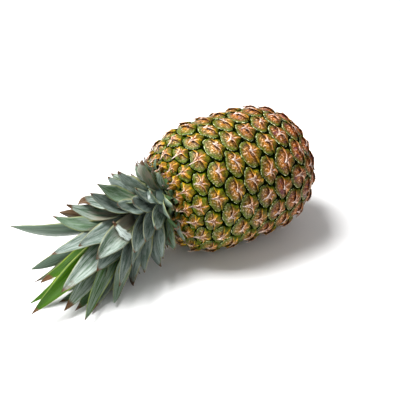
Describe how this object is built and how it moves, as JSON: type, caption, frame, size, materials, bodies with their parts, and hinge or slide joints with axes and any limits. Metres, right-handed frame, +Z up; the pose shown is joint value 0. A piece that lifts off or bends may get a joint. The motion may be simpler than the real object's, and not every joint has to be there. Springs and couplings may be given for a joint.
{
  "type": "pineapple",
  "caption": "Whole pineapple lying on its side: a barrel-shaped fruit with a spiral of raised eyes and bract tips, a leafy crown and a cut stalk.",
  "frame": {"origin": "the middle of the flat eye, nearest under its weight, on which the fruit rests", "axes": "+X along the fruit's axis towards the cut stalk, -X towards the crown, +Z up; the picture looks from the crown's left, from -X and -Y"},
  "size_m": [0.3068, 0.127, 0.1242],
  "materials": {
    "fruit_rind": "satin, waxy, with green grooves and pinkish papery bract tips",
    "crown_leaf": "satin, blue-green under a silvery bloom",
    "heart_leaf": "satin, bright green",
    "stalk_cut": "matt, fibrous, dried"
  },
  "bodies": {
    "root": {"fruit": "fruit_rind", "crown": "crown_leaf", "crown_heart": "heart_leaf", "stalk": "stalk_cut"}
  },
  "joints": []
}
